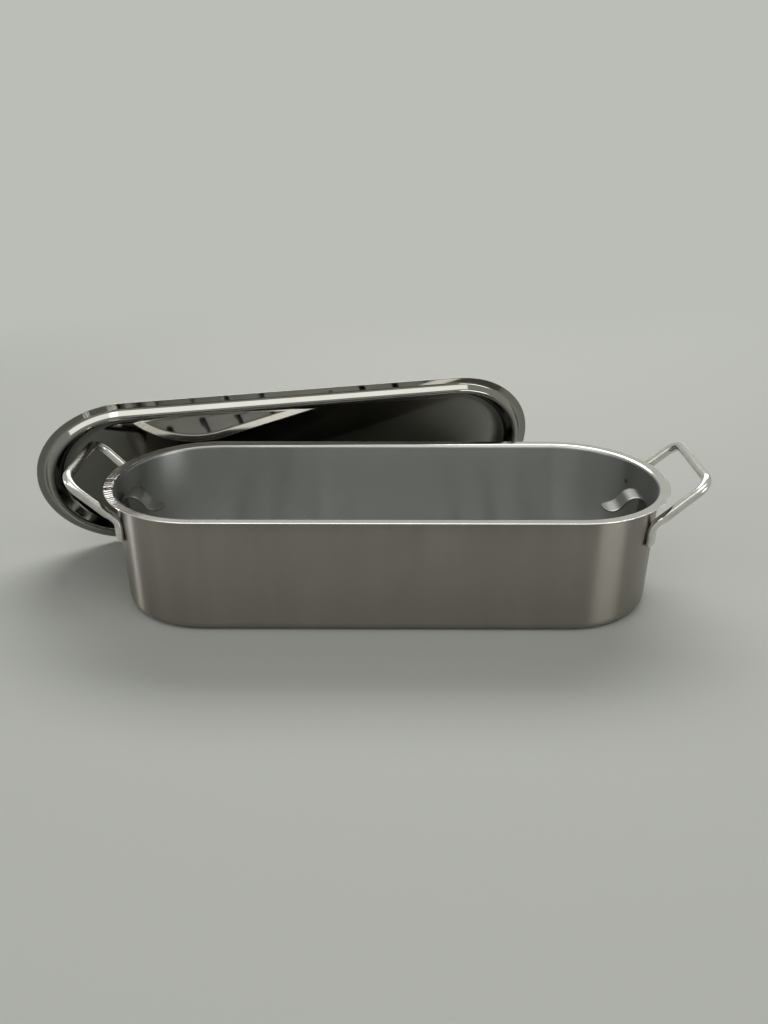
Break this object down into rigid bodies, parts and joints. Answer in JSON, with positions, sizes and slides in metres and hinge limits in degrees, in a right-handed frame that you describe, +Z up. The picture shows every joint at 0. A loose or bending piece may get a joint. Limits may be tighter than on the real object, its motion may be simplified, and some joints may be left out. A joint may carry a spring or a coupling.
{
  "type": "fish kettle",
  "caption": "Oblong stainless steel fish kettle with rod side handles, a lift-out slotted rack with strip lifters, and a crowned lid leaning behind the pan.",
  "frame": {"origin": "centre of the pan's flat base, on the surface it stands on", "axes": "+X along the kettle towards one side handle, +Y towards the lid that leans behind the pan, +Z up"},
  "size_m": [0.7053, 0.321, 0.1936],
  "materials": {
    "pan_steel": "satin stainless steel, grain running round the wall",
    "rod_steel": "polished stainless steel rod",
    "rack_steel": "satin stainless steel sheet and strip",
    "rivet_steel": "plain steel rivet",
    "lid_steel": "mirror-polished stainless steel"
  },
  "bodies": {
    "kettle": {"kettle_pan": "pan_steel", "side_handle_right": "rod_steel", "side_handle_left": "rod_steel"},
    "rack": {"rack_plate": "rack_steel", "rack_lifter_right": "rack_steel", "rack_lifter_left": "rack_steel", "rack_rivets_right": "rivet_steel", "rack_rivets_left": "rivet_steel"},
    "lid": {"lid_shell": "lid_steel", "lid_handle": "rod_steel"}
  },
  "joints": [
    {"name": "rack_lift", "type": "slide", "parent": "kettle", "child": "rack", "axis": [0, 0, 1], "range_m": [0, 0.14]},
    {"name": "lid_lift", "type": "slide", "parent": "kettle", "child": "lid", "axis": [0, 0, 1], "range_m": [0, 0.25]}
  ]
}
